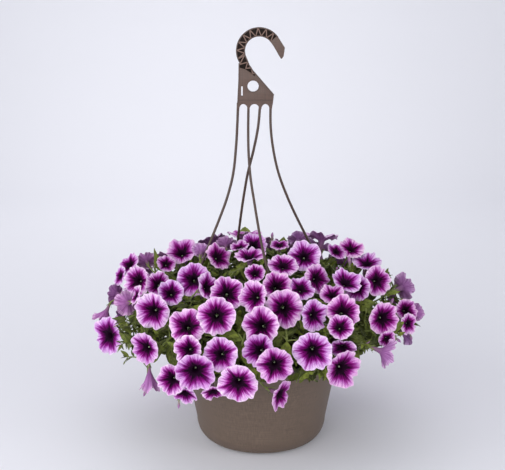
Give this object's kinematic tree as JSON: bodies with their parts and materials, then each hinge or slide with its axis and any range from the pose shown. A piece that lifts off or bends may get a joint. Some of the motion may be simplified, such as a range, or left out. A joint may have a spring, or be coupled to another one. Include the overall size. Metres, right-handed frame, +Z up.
{
  "type": "petunia hanging basket",
  "caption": "Round moulded pot of potting mix under a mound of funnel-shaped two-tone petunia flowers and small leaves, on a flat hooked hanger whose thin strands clip to the rim.",
  "frame": {"origin": "middle of the pot's flat underside", "axes": "+Z up towards the hook, -Y the front that the hook plate's ribbed face looks to, +X the side that the hook opens to"},
  "size_m": [0.5204, 0.4973, 0.642],
  "materials": {
    "pot_plastic": "moulded grey-brown, finely brushed, satin",
    "hanger_plastic": "moulded grey-brown, smooth satin",
    "potting_mix": "loose peat and bark, matte",
    "petal": "soft petal, pale lilac edge and deep purple star",
    "leaf": "soft green leaf, satin, fine hairs"
  },
  "bodies": {
    "root": {"flower_spray_01": "petal", "flower_spray_02": "petal", "flower_spray_03": "petal", "flower_spray_04": "petal", "flower_spray_05": "petal", "flower_spray_06": "petal", "flower_spray_07": "petal", "flower_spray_08": "petal", "flower_spray_09": "petal", "flower_spray_10": "petal", "flower_spray_11": "petal", "flower_spray_12": "petal", "flower_spray_13": "petal", "flower_spray_14": "petal", "flower_spray_15": "petal", "flower_spray_16": "petal", "flower_spray_17": "petal", "flower_spray_18": "petal", "flower_spray_19": "petal", "flower_spray_20": "petal", "flower_spray_21": "petal", "flower_spray_22": "petal", "flower_spray_23": "petal", "flower_spray_24": "petal", "flower_spray_25": "petal", "flower_spray_26": "petal", "flower_spray_27": "petal", "flower_spray_28": "petal", "hanger_hook": "hanger_plastic", "hanger_strand_back": "hanger_plastic", "hanger_strand_front": "hanger_plastic", "hanger_strand_left": "hanger_plastic", "hanger_strand_right": "hanger_plastic", "leafy_shoot_01": "leaf", "leafy_shoot_02": "leaf", "leafy_shoot_03": "leaf", "leafy_shoot_04": "leaf", "leafy_shoot_05": "leaf", "leafy_shoot_06": "leaf", "leafy_shoot_07": "leaf", "leafy_shoot_08": "leaf", "leafy_shoot_09": "leaf", "leafy_shoot_10": "leaf", "leafy_shoot_11": "leaf", "leafy_shoot_12": "leaf", "leafy_shoot_13": "leaf", "leafy_shoot_14": "leaf", "leafy_shoot_15": "leaf", "leafy_shoot_16": "leaf", "leafy_shoot_17": "leaf", "leafy_shoot_18": "leaf", "leafy_shoot_19": "leaf", "pot": "pot_plastic", "potting_mix": "potting_mix"}
  },
  "joints": []
}
